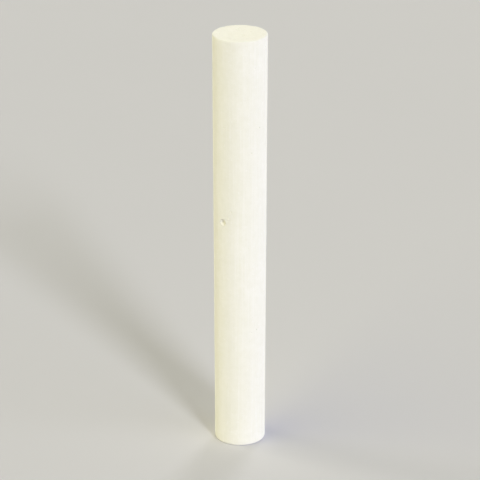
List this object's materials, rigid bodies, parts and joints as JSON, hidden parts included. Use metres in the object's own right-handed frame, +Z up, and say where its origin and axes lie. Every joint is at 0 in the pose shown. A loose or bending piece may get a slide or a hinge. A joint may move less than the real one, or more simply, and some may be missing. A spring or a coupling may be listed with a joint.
{
  "type": "chalk stick",
  "caption": "Slender round stick of white chalk, slightly tapered, with flat ends and a small air bubble pit in its side, for writing on a blackboard.",
  "frame": {"origin": "centre of the narrow flat end, on the surface that the stick stands on", "axes": "+Z up the stick's axis, from the narrow end to the wide end; -Y is the front, and the pit is 40 degrees from it towards -X"},
  "size_m": [0.01, 0.01, 0.08],
  "materials": {
    "chalk": "matte"
  },
  "bodies": {
    "root": {"chalk_stick": "chalk"}
  },
  "joints": []
}
